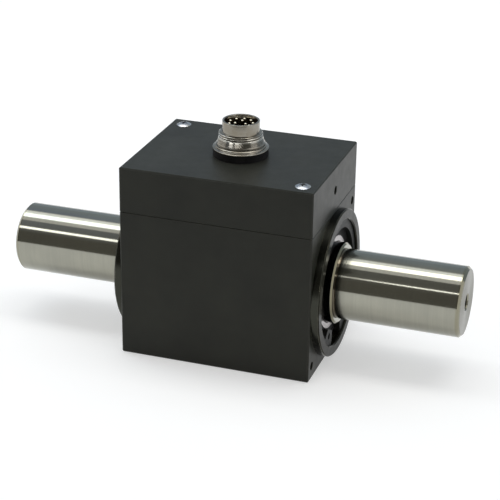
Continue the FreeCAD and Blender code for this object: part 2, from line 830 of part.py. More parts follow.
def bearing_balls(name, turn):
    """Balls of one bearing."""
    body = new_body(name, "axis_height", turn)
    ball = body.newObject("PartDesign::AdditiveSphere", "Ball")
    ball.AttachmentSupport = [(origin_feature(body, "XY_Plane"), "")]
    ball.MapMode = "FlatFace"
    ball.setExpression("Radius", bound(half("ball_dia")))
    ball.setExpression("AttachmentOffset.Base.x", bound("bearing_middle"))
    ball.setExpression("AttachmentOffset.Base.z", bound(half("pitch_dia")))
    doc.recompute()
    repeat(body, [ball], "X_Axis", "ball_count")


# Rotor

def rotor_shaft():
    """One-piece shaft: two stubs, bearing seats, a torsion section and centre holes."""
    right = [
        (half("torsion_length"), half("torsion_dia")),
        (half("torsion_length"), half("land_dia")),
        ("bearing_back", half("land_dia")),
        ("bearing_back", half("seat_dia")),
        ("shoulder_face", half("seat_dia")),
        ("shoulder_face", half("relief_dia")),
        ("relief_end", half("relief_dia")),
        ("relief_end", half("stub_dia")),
        ("shaft_end", half("stub_dia")),
        ("shaft_end", "0"),
    ]
    left = [(f"-{place}", radius) for place, radius in reversed(right)]
    body = turned("rotor_shaft", left + right)

    hole = new_sketch(body, "XZ_Plane")
    sink_depth = "(centre_sink_dia - centre_hole_dia) / 2 / tan(30)"
    drill_end = "shaft_end - centre_hole_depth"
    add_outline(hole, [
        ("shaft_end", "0"),
        ("shaft_end", half("centre_sink_dia")),
        (f"shaft_end - {sink_depth}", half("centre_hole_dia")),
        (drill_end, half("centre_hole_dia")),
        (f"{drill_end} - centre_hole_dia / 2 * tan(30)", "0"),
    ])
    mirror(body, [groove(body, hole)], "YZ_Plane")

    both_ends = ("", "-")
    chamfer_rims(body, "stub_chamfer", [(f"{end}shaft_end", "stub_dia") for end in both_ends])
    chamfer_rims(body, "shoulder_chamfer",
                 [(f"{end}shoulder_face", "seat_dia") for end in both_ends])
    fillet_rims(body, "torsion_fillet",
                [(f"{end}torsion_length / 2", "torsion_dia") for end in both_ends])


def strain_gauges():
    """Foil gauges bonded round the torsion section."""
    body = new_body("strain_gauges", "axis_height")
    sketch = new_sketch(body, "XZ_Plane")
    low = "torsion_dia / 2 + seat_clearance"
    high = f"{low} + gauge_thickness"
    add_outline(sketch, [
        ("-gauge_length / 2", low),
        ("gauge_length / 2", low),
        ("gauge_length / 2", high),
        ("-gauge_length / 2", high),
    ])
    gauge = revolve(body, sketch, angle="gauge_arc")
    repeat(body, [gauge], "X_Axis", "gauge_count")


def coil_carrier(name, seat, mouth, floor):
    """Half of the rotary transformer: a ring with a channel open towards the air gap."""
    body = turned(name, [
        ("coil_left", half(seat)),
        ("coil_right", half(seat)),
        ("coil_right", half(mouth)),
        ("coil_left", half(mouth)),
    ])
    channel = new_sketch(body, "XZ_Plane")
    add_outline(channel, [
        ("coil_left + coil_flange", half(floor)),
        ("coil_right - coil_flange", half(floor)),
        ("coil_right - coil_flange", half(mouth)),
        ("coil_left + coil_flange", half(mouth)),
    ])
    groove(body, channel)


def coil_winding(name, low, high):
    """Winding that fills a coil carrier's channel."""
    left = "coil_left + coil_flange + seat_clearance"
    right = "coil_right - coil_flange - seat_clearance"
    turned(name, [(left, low), (right, low), (right, high), (left, high)])


def rotor_board():
    """Round circuit board on the shaft."""
    body = new_body("rotor_board", "axis_height")
    sketch = new_sketch(body, "YZ_Plane", "rotor_board_place")
    add_circle(sketch, "rotor_board_dia")
    add_circle(sketch, "land_fit_dia")
    pad(body, sketch, "board_thickness")


def rotor_board_hub():
    """Hub that carries the rotor board on the shaft."""
    end = "rotor_hub_start + rotor_hub_width"
    turned("rotor_board_hub", [
        ("rotor_hub_start", half("land_fit_dia")),
        ("rotor_hub_start", half("rotor_hub_dia")),
        (end, half("rotor_hub_dia")),
        (end, half("land_fit_dia")),
    ])


def rotor_chips():
    """Chips on the inner face of the rotor board."""
    body = new_body("rotor_chips", "axis_height")
    sketch = new_sketch(body, "YZ_Plane", "rotor_board_place")
    add_rectangle(sketch, "rotor_chip_length", "rotor_chip_width", "0",
                  half("rotor_chip_circle"))
    chip = pad(body, sketch, "rotor_chip_height", down=True)
    repeat(body, [chip], "X_Axis", "rotor_chip_count")


# Main board

def main_board():
    """Circuit board in the hood, soldered to the connector pins."""
    body = new_body("main_board", "board_underside")
    sketch = new_sketch(body, "XY_Plane")
    add_rectangle(sketch, "board_length", "board_width")
    for x, y in board_corners():
        add_circle(sketch, "board_hole_dia", x, y)
    pad(body, sketch, "board_thickness")
    drill_pin_holes(body, "pin_dia + 2 * pin_hole_gap")


def board_standoffs():
    """Hexagonal spacers with a stud below and a tapped bore above."""
    body = new_body("board_standoffs", "block_height")
    hexagons = new_sketch(body, "XY_Plane")
    studs = new_sketch(body, "XY_Plane")
    bores = new_sketch(body, "XY_Plane", "standoff_height")
    for x, y in board_corners():
        add_hexagon(hexagons, "standoff_flats", x, y)
        add_circle(studs, "standoff_stud_dia", x, y)
        add_circle(bores, "board_screw_dia + 2 * seat_clearance", x, y)
    pad(body, hexagons, "standoff_height")
    pad(body, studs, "standoff_stud_length", down=True)
    pocket(body, bores, "standoff_bore_depth")


def add_hexagon(sketch, flats, across="0", up="0"):
    """A hexagon of a width across flats about a centre."""
    corner = f"({flats}) / 2 / cos(30)"
    add_outline(sketch, [
        (f"{across} + {corner} * cos({angle})", f"{up} + {corner} * sin({angle})")
        for angle in range(0, 360, 60)
    ])


def board_screws():
    """Four pan-head screws that hold the main board on its spacers."""
    body = new_body("board_screws", "board_underside + board_thickness")
    heads = new_sketch(body, "XY_Plane")
    shanks = new_sketch(body, "XY_Plane")
    for x, y in board_corners():
        add_circle(heads, "board_screw_head_dia", x, y)
        add_circle(shanks, "board_screw_dia", x, y)
    pad(body, heads, "board_screw_head_height")
    pad(body, shanks, "board_screw_length", down=True)
    fillet_rims(body, "board_screw_round",
                [("board_screw_head_height", "board_screw_head_dia")], along=2)


def board_components():
    """Chips on top of the main board, and capacitors and a choke under it."""
    body = new_body("board_components", "board_underside")
    chips = new_sketch(body, "XY_Plane", "board_thickness")
    for side in ("-", ""):
        add_rectangle(chips, "chip_length", "chip_width", f"{side}chip_place")
    pad(body, chips, "chip_height")
    capacitors = new_sketch(body, "XY_Plane")
    for side in ("-", ""):
        add_circle(capacitors, "capacitor_dia", "-capacitor_place_x", f"{side}capacitor_place_y")
    pad(body, capacitors, "capacitor_height", down=True)
    choke = new_sketch(body, "XY_Plane")
    add_circle(choke, "choke_dia", "choke_place")
    add_circle(choke, "choke_bore", "choke_place")
    pad(body, choke, "choke_height", down=True)


# Connector, measured from the hood's roof

def connector_seal():
    """Rubber seal under the connector's flange."""
    body = new_body("connector_seal", "roof_top")
    sketch = new_sketch(body, "XY_Plane")
    add_circle(sketch, "connector_seal_dia")
    add_circle(sketch, "connector_seal_bore")
    pad(body, sketch, "connector_seal_height")


def connector_shell():
    """Plated receptacle shell: flange, two stepped collars, coupling thread and barrel."""
    body = new_body("connector_shell", "roof_top")
    profile = new_sketch(body, "XZ_Plane")
    bore = half("connector_barrel_bore")
    thread = half("connector_thread_dia")
    rim_top = "connector_seal_height + connector_flange_rim"
    add_outline(profile, [
        (bore, "-connector_rear_depth"),
        (thread, "-connector_rear_depth"),
        (thread, "connector_seal_height"),
        (half("connector_flange_dia"), "connector_seal_height"),
        (half("connector_flange_dia"), rim_top),
        (half("connector_bead_dia"), "connector_bead_height"),
        (half("connector_collar_dia"), "connector_bead_height"),
        (half("connector_collar_dia"), "connector_collar_height"),
        (thread, "connector_thread_start"),
        (thread, "connector_thread_end"),
        (half("connector_barrel_dia"), "connector_thread_end"),
        (half("connector_barrel_dia"), "connector_height"),
        (bore, "connector_height"),
    ])
    revolve(body, profile, "V_Axis")
    chamfer_rims(body, "connector_thread_chamfer",
                 [("connector_thread_end", "connector_thread_dia")], along=2)


def drill_pin_holes(body, diameter):
    """Holes on both pin circles, through the body."""
    for circle, count, turn in pin_circles():
        sketch = new_sketch(body, "XY_Plane", "-connector_height", turn=number(turn))
        add_circle(sketch, diameter, half(circle))
        hole = pocket(body, sketch, up=True)
        repeat(body, [hole], "Z_Axis", count)


def pin_circles():
    """Diameter, number of pins and first angle of each circle of pins."""
    return [("outer_pin_circle", "outer_pin_count", "outer_pin_turn"),
            ("inner_pin_circle", "inner_pin_count", "inner_pin_turn")]


def connector_insert():
    """Insulator that holds the pins in the shell."""
    body = new_body("connector_insert", "roof_top")
    sketch = new_sketch(body, "XY_Plane", "-connector_rear_depth")
    add_circle(sketch, "connector_barrel_bore - 2 * seat_clearance")
    pad(body, sketch, "connector_rear_depth + insert_face_height")
    drill_pin_holes(body, "pin_dia + 2 * seat_clearance")


def connector_pins():
    """Twelve pins, from just below the barrel's rim down through the main board."""
    body = new_body("connector_pins", "roof_top")
    for circle, count, turn in pin_circles():
        sketch = new_sketch(body, "XY_Plane", "-pin_bottom", turn=number(turn))
        add_circle(sketch, "pin_dia", half(circle))
        pin = pad(body, sketch, "pin_bottom + pin_top_height")
        repeat(body, [pin], "Z_Axis", count)
    fillet_rims(body, "pin_tip_radius", [("pin_top_height", "pin_dia")], along=2)


def connector_nut():
    """Hexagonal nut that clamps the connector from inside the hood."""
    body = new_body("connector_nut", "roof_top - hood_roof")
    sketch = new_sketch(body, "XY_Plane")
    add_hexagon(sketch, "nut_flats")
    add_circle(sketch, "connector_thread_dia + 2 * seat_clearance")
    pad(body, sketch, "nut_thickness", down=True)


def build():
    """Every sub-part; the load side faces +X and the drive side is turned half a circle."""
    fill_sheets()
    stator_block()
    electronics_hood()
    hood_gasket()
    hood_screws()
    for side, turn in (("load", 0), ("drive", 180)):
        bearing_carrier(f"bearing_carrier_{side}", turn)
        retaining_ring(f"retaining_ring_{side}", turn)
        outer_ring(f"outer_ring_{side}", turn)
        inner_ring(f"inner_ring_{side}", turn)
        bearing_seals(f"bearing_seals_{side}", turn)
        ball_cage(f"ball_cage_{side}", turn)
        bearing_balls(f"bearing_balls_{side}", turn)
    rotor_shaft()
    strain_gauges()
    coil_carrier("rotor_coil_carrier", "land_fit_dia", "rotor_coil_dia", "rotor_coil_floor_dia")
    coil_winding("rotor_winding", "rotor_coil_floor_dia / 2 + seat_clearance",
                 half("rotor_winding_dia"))
    coil_carrier("stator_coil_carrier", "sleeve_dia", "stator_coil_bore", "stator_coil_floor_dia")
    coil_winding("stator_winding", half("stator_winding_bore"),
                 "stator_coil_floor_dia / 2 - seat_clearance")
    rotor_board()
    rotor_board_hub()
    rotor_chips()
    main_board()
    board_standoffs()
    board_screws()
    board_components()
    connector_seal()
    connector_shell()
    connector_insert()
    connector_pins()
    connector_nut()
    doc.recompute()


def check():
    """Stops unless every object is up to date and every sub-part is a valid shape."""
    for item in doc.Objects:
        if "Invalid" in item.State or "Error" in item.State:
            raise ValueError(f"{item.Name} failed: {item.State}")
    for body in bodies():
        if body.Shape.isNull() or not body.Shape.isValid():
            raise ValueError(f"{body.Label} has no valid shape")


def bodies():
    """The sub-parts of the document."""
    return [item for item in doc.Objects if item.TypeId == "PartDesign::Body"]


def write_parts():
    """One STEP file for each sub-part, named by its label."""
    os.makedirs("parts", exist_ok=True)
    for body in bodies():
        body.Shape.exportStep(f"parts/{body.Label}.step")


build()
check()
write_parts()
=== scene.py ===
import json
import math
import bmesh
import bpy
from mathutils import Matrix, Vector


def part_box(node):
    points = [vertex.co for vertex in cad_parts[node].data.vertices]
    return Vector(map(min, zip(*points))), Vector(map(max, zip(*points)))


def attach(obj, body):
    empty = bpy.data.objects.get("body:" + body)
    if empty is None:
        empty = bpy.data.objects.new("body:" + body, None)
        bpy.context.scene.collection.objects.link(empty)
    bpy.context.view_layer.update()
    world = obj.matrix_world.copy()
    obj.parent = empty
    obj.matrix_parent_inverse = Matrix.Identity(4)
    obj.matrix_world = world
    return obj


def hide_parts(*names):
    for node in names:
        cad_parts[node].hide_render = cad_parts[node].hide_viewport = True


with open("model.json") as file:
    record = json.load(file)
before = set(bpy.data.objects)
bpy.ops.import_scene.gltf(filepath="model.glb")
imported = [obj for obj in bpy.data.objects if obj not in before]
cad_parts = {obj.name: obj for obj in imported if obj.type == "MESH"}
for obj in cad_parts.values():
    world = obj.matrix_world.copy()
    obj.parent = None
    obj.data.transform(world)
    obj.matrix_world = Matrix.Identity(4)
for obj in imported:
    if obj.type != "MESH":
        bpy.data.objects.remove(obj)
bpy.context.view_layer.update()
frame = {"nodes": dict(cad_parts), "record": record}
nodes = frame["nodes"]

# The object's lengths are written in millimetres and scaled to metres where they are used.
MM = 0.001
HOOD_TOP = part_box("electronics_hood")[1][2]
PIN_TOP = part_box("connector_pins")[1][2]
SHAFT_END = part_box("rotor_shaft")[1][0]
CARRIER_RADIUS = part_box("bearing_carrier_load")[1][1]
SHAFT_HEIGHT = frame["record"]["behaviour"]["joints"][0]["pos_m"][2]


# Materials

class Finish:
    """A material with one principled shader, and short names for the nodes that feed it."""

    def __init__(self, name, colour, metallic=0.0, roughness=0.5, **sockets):
        self.material = bpy.data.materials.new(name)
        self.material.use_nodes = True
        self.material.diffuse_color = (*colour, 1.0)
        self.tree = self.material.node_tree
        self.shader = self.tree.nodes["Principled BSDF"]
        self.set("Base Color", (*colour, 1.0))
        self.set("Metallic", metallic)
        self.set("Roughness", roughness)
        for socket, value in sockets.items():
            self.set(socket.replace("_", " "), value)
        self.place = self.node("ShaderNodeTexCoord").outputs["Object"]

    def set(self, socket, value):
        """Sets a plain value on the shader."""
        self.shader.inputs[socket].default_value = value

    def node(self, kind, **inputs):
        """A new node with values or other nodes' outputs on its named inputs."""
        node = self.tree.nodes.new(kind)
        for name, value in inputs.items():
            self.feed(node.inputs[name.replace("_", " ")], value)
        return node

    def feed(self, target, value):
        """Links another node's output to a socket, or sets a plain value on it."""
        if isinstance(value, bpy.types.NodeSocket):
            self.tree.links.new(value, target)
        else:
            target.default_value = value

    def drive(self, socket, value):
        """Feeds a socket of the shader."""
        self.feed(self.shader.inputs[socket], value)

    def stretched(self, scale):
        """Object coordinates multiplied by a scale along each axis, per metre."""
        mapping = self.node("ShaderNodeMapping", Vector=self.place, Scale=scale)
        return mapping.outputs["Vector"]

    def noise(self, scale, detail=4.0, roughness=0.55):
        """Noise from 0 to 1 whose grains per metre can differ along each axis."""
        steps = scale if isinstance(scale, tuple) else (scale, scale, scale)
        node = self.node("ShaderNodeTexNoise", Vector=self.stretched(steps), Scale=1.0,
                         Detail=detail, Roughness=roughness)
        return node.outputs["Fac"]

    def ramp(self, factor, low, high, start=0.0, end=1.0):
        """A value or colour that goes from low to high as the factor goes from start to end."""
        spread = self.node("ShaderNodeMapRange", Value=factor)
        spread.inputs["From Min"].default_value = start
        spread.inputs["From Max"].default_value = end
        if not isinstance(low, tuple):
            spread.inputs["To Min"].default_value = low
            spread.inputs["To Max"].default_value = high
            return spread.outputs["Result"]
        return self.blend(spread.outputs["Result"], (*low, 1.0), (*high, 1.0))

    def blend(self, factor, low, high):
        """Two colours mixed by a factor."""
        mix = self.node("ShaderNodeMix")
        mix.data_type = "RGBA"
        self.feed(mix.inputs[0], factor)
        self.feed(mix.inputs[6], low)
        self.feed(mix.inputs[7], high)
        return mix.outputs[2]

    def math(self, operation, first, second=0.0):
        """One arithmetic step on two values."""
        node = self.tree.nodes.new("ShaderNodeMath")
        node.operation = operation
        self.feed(node.inputs[0], first)
        self.feed(node.inputs[1], second)
        return node.outputs[0]

    def axis(self, name):
        """The object coordinate along one axis, in metres."""
        return self.node("ShaderNodeSeparateXYZ", Vector=self.place).outputs[name]

    def distance(self, first, second):
        """The length of a vector with these two parts."""
        both = self.node("ShaderNodeCombineXYZ", X=first, Y=second)
        length = self.node("ShaderNodeVectorMath")
        length.operation = "LENGTH"
        self.feed(length.inputs[0], both.outputs[0])
        return length.outputs["Value"]

    def band(self, value, centre, half_width, fade):
        """1 within a half width of a centre, falling to 0 over a fade; all in millimetres."""
        offset = self.math("ABSOLUTE", self.math("SUBTRACT", value, centre * MM))
        return self.ramp(offset, 1.0, 0.0, half_width * MM, (half_width + fade) * MM)

    def edges(self, radius):
        """1 on convex and concave edges within a radius in millimetres, 0 on flat faces."""
        rounded = self.node("ShaderNodeBevel", Radius=radius * MM)
        rounded.samples = 4
        plain = self.node("ShaderNodeNewGeometry").outputs["Normal"]
        dot = self.node("ShaderNodeVectorMath")
        dot.operation = "DOT_PRODUCT"
        self.feed(dot.inputs[0], rounded.outputs["Normal"])
        self.feed(dot.inputs[1], plain)
        return self.ramp(dot.outputs["Value"], 1.0, 0.0, 0.8, 0.99)

    def bump(self, height, strength, depth):
        """Surface relief from a height, with its depth in millimetres."""
        node = self.node("ShaderNodeBump", Height=height, Strength=strength, Distance=depth * MM)
        self.drive("Normal", node.outputs["Normal"])


def black_anodised():
    """Blasted and black anodised aluminium: fine grain, uneven dye, lighter edges."""
    finish = Finish("black_anodised", (0.023, 0.024, 0.020), 0.0, 0.4, IOR=1.3)
    cloud = finish.noise(55.0, 3.0)
    dye = finish.ramp(cloud, (0.019, 0.020, 0.016), (0.028, 0.029, 0.023), 0.3, 0.7)
    # Lighter edges: partly wear, partly painted highlight.
    wear_and_highlight = finish.blend(finish.edges(0.25), dye, (0.07, 0.07, 0.06, 1.0))
    finish.drive("Base Color", wear_and_highlight)
    finish.drive("Roughness", finish.ramp(finish.noise(240.0, 5.0), 0.365, 0.425, 0.3, 0.7))
    finish.bump(finish.noise(5200.0, 2.0), 0.22, 0.02)
    return finish.material


def black_turned():
    """Turned and black anodised aluminium: tool marks, a glossy outside, and edges made yellowish bare
    metal in patches as a painted highlight.
    """
    black = (0.022, 0.022, 0.018)
    finish = Finish("black_turned", black, 0.0, 0.24, IOR=1.15)
    patches = finish.ramp(finish.noise(150.0, 4.0), 0.25, 1.0, 0.46, 0.58)
    # Painted highlight: in patches the edges become yellowish bare metal, so they catch the lamps as
    # bright lines.
    wear_and_highlight = finish.math("MULTIPLY", finish.edges(0.2), patches)
    height = finish.math("SUBTRACT", finish.axis("Z"), SHAFT_HEIGHT)
    radius = finish.distance(finish.axis("Y"), height)
    outside = finish.ramp(radius, 0.0, 1.0, CARRIER_RADIUS - 0.1 * MM, CARRIER_RADIUS - 0.05 * MM)
    colour = finish.blend(outside, (*black, 1.0), (0.042, 0.043, 0.035, 1.0))
    finish.drive("Base Color", finish.blend(wear_and_highlight, colour, (0.50, 0.48, 0.34, 1.0)))
    finish.drive("Metallic", finish.math("MAXIMUM", finish.math("MULTIPLY", wear_and_highlight, 0.8), outside))
    finish.drive("Roughness", finish.ramp(finish.noise(300.0, 4.0), 0.18, 0.28, 0.3, 0.7))
    finish.bump(finish.noise((6000.0, 60.0, 60.0), 3.0), 0.15, 0.01)
    return finish.material


# Places along the shaft, in millimetres from the middle of the housing

SEAT = 37.0
SEAT_HALF_WIDTH = 2.35
COLLAR = 39.7
RELIEF_GROOVE = 40.35


def ground_steel():
    """Cylindrically ground steel: fine marks round the axis, painted shade where the shaft lies in the
    carrier's recess and in the relief groove at its shoulder, and a tan tint on the shoulder's chamfer
    as a painted reflection.
    """
    finish = Finish("ground_steel", (0.33, 0.33, 0.29), 1.0, 0.12, Anisotropic=0.6,
                    Anisotropic_Rotation=0.25)
    tangent = finish.node("ShaderNodeTangent")
    tangent.direction_type = "RADIAL"
    tangent.axis = "X"
    finish.drive("Tangent", tangent.outputs["Tangent"])
    along = finish.math("ABSOLUTE", finish.axis("X"))
    rings = finish.noise((900.0, 25.0, 25.0), 5.0, 0.7)
    cloud = finish.noise((45.0, 70.0, 70.0), 3.0)
    metal = finish.ramp(cloud, (0.352, 0.348, 0.290), (0.304, 0.302, 0.256), 0.3, 0.7)
    colour = finish.blend(finish.ramp(rings, 0.0, 0.25, 0.35, 0.75), metal, (0.20, 0.19, 0.17, 1.0))
    # Painted shade: inside the carrier's recess the shaft is darkened nearly to black.
    recess_shade = finish.math("MULTIPLY", finish.band(along, SEAT, SEAT_HALF_WIDTH, 0.05), 0.85)
    colour = finish.blend(recess_shade, colour, (0.03, 0.03, 0.032, 1.0))
    # Painted reflection: a tan tint on the shoulder's chamfer.
    collar = finish.math("MULTIPLY", finish.band(along, COLLAR, 0.25, 0.04), 0.8)
    colour = finish.blend(collar, colour, (0.20, 0.18, 0.11, 1.0))
    # Painted shade: a dark brown line in the relief groove at the shoulder.
    relief_shade = finish.math("MULTIPLY", finish.band(along, RELIEF_GROOVE, 0.2, 0.1), 0.8)
    colour = finish.blend(relief_shade, colour, (0.10, 0.06, 0.03, 1.0))
    rim = finish.math("MULTIPLY", finish.band(along, SHAFT_END / MM - 0.8, 0.3, 0.6), 0.55)
    colour = finish.blend(rim, colour, (0.22, 0.20, 0.12, 1.0))
    end_face = finish.ramp(along, 0.0, 1.0, SHAFT_END - 0.1 * MM, SHAFT_END - 0.03 * MM)
    finish.drive("Base Color", finish.blend(end_face, colour, (0.20, 0.195, 0.165, 1.0)))
    ground = finish.ramp(rings, 0.09, 0.16, 0.3, 0.7)
    turned = finish.math("MULTIPLY", end_face, 0.32)
    finish.drive("Roughness", finish.math("MAXIMUM", ground, turned))
    finish.bump(finish.noise((5000.0, 40.0, 40.0), 2.0), 0.08, 0.003)
    return finish.material


def bearing_steel():
    """Ground and hardened bearing steel under a film of grease."""
    finish = Finish("bearing_steel", (0.34, 0.31, 0.31), 1.0, 0.18)
    film = finish.noise(500.0, 3.0)
    finish.drive("Base Color", finish.ramp(film, (0.28, 0.25, 0.25), (0.40, 0.37, 0.37), 0.3, 0.7))
    finish.drive("Roughness", finish.ramp(finish.noise((2500.0, 90.0, 90.0), 4.0), 0.12, 0.24))
    finish.bump(finish.noise((4000.0, 60.0, 60.0), 2.0), 0.08, 0.004)
    return finish.material


def spring_steel():
    """Punched and phosphated spring steel, with cut edges a little brighter."""
    finish = Finish("spring_steel", (0.025, 0.026, 0.026), 0.0, 0.42, IOR=1.2)
    mottle = finish.noise(900.0, 6.0, 0.65)
    colour = finish.ramp(mottle, (0.018, 0.019, 0.019), (0.036, 0.037, 0.037), 0.3, 0.7)
    finish.drive("Base Color", finish.blend(finish.edges(0.12), colour, (0.14, 0.14, 0.13, 1.0)))
    finish.drive("Roughness", finish.ramp(mottle, 0.34, 0.5, 0.3, 0.7))
    finish.bump(finish.noise(3500.0, 3.0), 0.25, 0.01)
    return finish.material


def black_rubber():
    """Moulded nitrile rubber with a faint bloom."""
    finish = Finish("black_rubber", (0.014, 0.014, 0.015), 0.0, 0.6, IOR=1.25)
    bloom = finish.noise(180.0, 5.0)
    colour = finish.ramp(bloom, (0.010, 0.010, 0.011), (0.022, 0.021, 0.021), 0.35, 0.7)
    finish.drive("Base Color", colour)
    finish.drive("Roughness", finish.ramp(bloom, 0.52, 0.68, 0.3, 0.7))
    finish.bump(finish.noise(4500.0, 3.0), 0.3, 0.01)
    return finish.material


def zinc_plated():
    """Bright zinc plating with a blue and yellow passivated tinge."""
    finish = Finish("zinc_plated", (0.50, 0.51, 0.53), 1.0, 0.24)
    tint = finish.noise(420.0, 3.0)
    colour = finish.ramp(tint, (0.44, 0.47, 0.53), (0.55, 0.54, 0.50), 0.35, 0.65)
    finish.drive("Base Color", colour)
    finish.drive("Roughness", finish.ramp(finish.noise(2600.0, 4.0), 0.18, 0.32))
    finish.bump(finish.noise(3800.0, 3.0), 0.12, 0.006)
    return finish.material


def nickel_plated():
    """Satin nickel on turned brass: marks round the connector's axis, and a brighter thread crest and
    edges, partly wear and partly painted highlight.
    """
    finish = Finish("nickel_plated", (0.28, 0.26, 0.22), 1.0, 0.16)
    rings = finish.noise((45.0, 45.0, 3200.0), 4.0)
    cloud = finish.noise(260.0, 3.0)
    colour = finish.ramp(cloud, (0.31, 0.295, 0.26), (0.24, 0.215, 0.17), 0.3, 0.7)
    radius = finish.distance(finish.axis("X"), finish.axis("Y"))
    crest = finish.band(radius, THREAD_RADIUS, 0.08, 0.06)
    # Brighter thread crest and edges: partly wear, partly painted highlight.
    wear_and_highlight = finish.math("MAXIMUM", crest, finish.edges(0.12))
    finish.drive("Base Color", finish.blend(wear_and_highlight, colour, (0.66, 0.64, 0.58, 1.0)))
    finish.drive("Roughness", finish.ramp(rings, 0.12, 0.20, 0.3, 0.7))
    finish.bump(rings, 0.07, 0.005)
    return finish.material


def dulled_nickel():
    """The dull inner wall of the connector's barrel."""
    finish = Finish("dulled_nickel", (0.12, 0.09, 0.065), 1.0, 0.46)
    cloud = finish.noise(400.0, 4.0)
    finish.drive("Base Color", finish.ramp(cloud, (0.08, 0.055, 0.04), (0.15, 0.11, 0.08), 0.3, 0.7))
    finish.drive("Roughness", finish.ramp(cloud, 0.36, 0.5))
    finish.bump(finish.noise((60.0, 60.0, 3000.0), 3.0), 0.15, 0.008)
    return finish.material


def insulator_brown():
    """Dark brown moulded insulator."""
    finish = Finish("insulator_brown", (0.14, 0.080, 0.050), 0.0, 0.5)
    speckle = finish.noise(1600.0, 5.0)
    colour = finish.ramp(speckle, (0.11, 0.060, 0.038), (0.17, 0.098, 0.062), 0.3, 0.7)
    finish.drive("Base Color", colour)
    finish.drive("Roughness", finish.ramp(speckle, 0.42, 0.58, 0.3, 0.7))
    finish.bump(speckle, 0.15, 0.01)
    return finish.material


def gold_contact():
    """Gold plating on turned pins, with painted shade on their sides down in the barrel; their tips
    keep the gold's colour.
    """
    finish = Finish("gold_contact", (0.80, 0.74, 0.56), 1.0, 0.2)
    marks = finish.noise((60.0, 60.0, 4000.0), 3.0)
    tip = finish.ramp(finish.axis("Z"), 0.0, 1.0, PIN_TOP - 0.45 * MM, PIN_TOP - 0.2 * MM)
    # Painted shade: the pins' sides are darkened to a dull brown down in the barrel.
    side = finish.ramp(finish.noise(700.0), (0.14, 0.09, 0.04), (0.20, 0.13, 0.06))
    finish.drive("Base Color", finish.blend(tip, side, (0.80, 0.75, 0.60, 1.0)))
    finish.drive("Roughness", finish.ramp(marks, 0.16, 0.3, 0.3, 0.7))
    finish.bump(marks, 0.1, 0.004)
    return finish.material


def turned_aluminium():
    """Clear anodised turned aluminium."""
    finish = Finish("turned_aluminium", (0.62, 0.63, 0.64), 1.0, 0.35)
    marks = finish.noise((2800.0, 70.0, 70.0), 4.0)
    finish.drive("Roughness", finish.ramp(marks, 0.28, 0.45, 0.3, 0.7))
    colour = finish.ramp(finish.noise(150.0), (0.60, 0.61, 0.62), (0.68, 0.68, 0.68))
    finish.drive("Base Color", colour)
    finish.bump(marks, 0.2, 0.01)
    return finish.material


def enamelled_copper():
    """Winding of fine enamelled copper wire, laid in turns round the axis."""
    finish = Finish("enamelled_copper", (0.50, 0.20, 0.08), 1.0, 0.3)
    wave = finish.node("ShaderNodeTexWave", Vector=finish.place, Scale=600.0, Distortion=0.4,
                       Detail=1.0)
    wave.bands_direction = "X"
    turns = wave.outputs["Fac"]
    finish.drive("Base Color", finish.ramp(turns, (0.30, 0.10, 0.04), (0.62, 0.27, 0.11)))
    finish.drive("Roughness", finish.ramp(finish.noise(900.0), 0.24, 0.4))
    finish.bump(turns, 0.8, 0.12)
    return finish.material


def circuit_board():
    """Green solder mask over copper tracks."""
    finish = Finish("circuit_board", (0.02, 0.12, 0.05), 0.0, 0.35)
    cells = finish.node("ShaderNodeTexVoronoi", Vector=finish.place, Scale=260.0)
    cells.distance = "CHEBYCHEV"
    tracks = finish.ramp(cells.outputs["Distance"], 0.0, 1.0, 0.40, 0.46)
    finish.drive("Base Color", finish.blend(tracks, (0.015, 0.10, 0.04, 1.0), (0.03, 0.17, 0.06, 1.0)))
    finish.drive("Roughness", finish.ramp(finish.noise(500.0), 0.28, 0.42))
    finish.bump(tracks, 0.4, 0.03)
    return finish.material


def component_body():
    """Moulded black component bodies."""
    finish = Finish("component_body", (0.02, 0.02, 0.021), 0.0, 0.55)
    grain = finish.noise(3000.0, 4.0)
    finish.drive("Base Color", finish.ramp(grain, (0.016, 0.016, 0.017), (0.032, 0.032, 0.033)))
    finish.drive("Roughness", finish.ramp(grain, 0.48, 0.64))
    finish.bump(grain, 0.25, 0.01)
    return finish.material


def gauge_foil():
    """Polyimide film with fine foil lines."""
    finish = Finish("gauge_foil", (0.50, 0.26, 0.07), 0.0, 0.3)
    wave = finish.node("ShaderNodeTexWave", Vector=finish.place, Scale=900.0)
    wave.bands_direction = "DIAGONAL"
    lines = finish.ramp(wave.outputs["Fac"], 0.0, 1.0, 0.45, 0.55)
    finish.drive("Base Color", finish.blend(lines, (0.50, 0.24, 0.06, 1.0), (0.30, 0.20, 0.12, 1.0)))
    finish.drive("Roughness", finish.ramp(finish.noise(800.0), 0.25, 0.4))
    finish.bump(lines, 0.2, 0.005)
    return finish.material


def cage_polymer():
    """Moulded polyamide cage."""
    finish = Finish("cage_polymer", (0.10, 0.10, 0.09), 0.0, 0.45)
    grain = finish.noise(1200.0, 4.0)
    finish.drive("Base Color", finish.ramp(grain, (0.08, 0.08, 0.07), (0.13, 0.125, 0.11)))
    finish.drive("Roughness", finish.ramp(grain, 0.38, 0.52))
    finish.bump(grain, 0.2, 0.01)
    return finish.material


FINISH_OF_SLOT = {
    "black_anodised_aluminium": black_anodised,
    "ground_steel": ground_steel,
    "bearing_steel": bearing_steel,
    "spring_steel": spring_steel,
    "black_rubber": black_rubber,
    "zinc_plated_steel": zinc_plated,
    "nickel_plated_brass": nickel_plated,
    "insulator": insulator_brown,
    "gold_plated_contact": gold_contact,
    "clear_anodised_aluminium": turned_aluminium,
    "enamelled_copper": enamelled_copper,
    "circuit_board": circuit_board,
    "component_body": component_body,
    "gauge_foil": gauge_foil,
    "cage_polymer": cage_polymer,
}


def dress(piece, material):
    """Gives a piece one material."""
    piece.data.materials.clear()
    piece.data.materials.append(material)


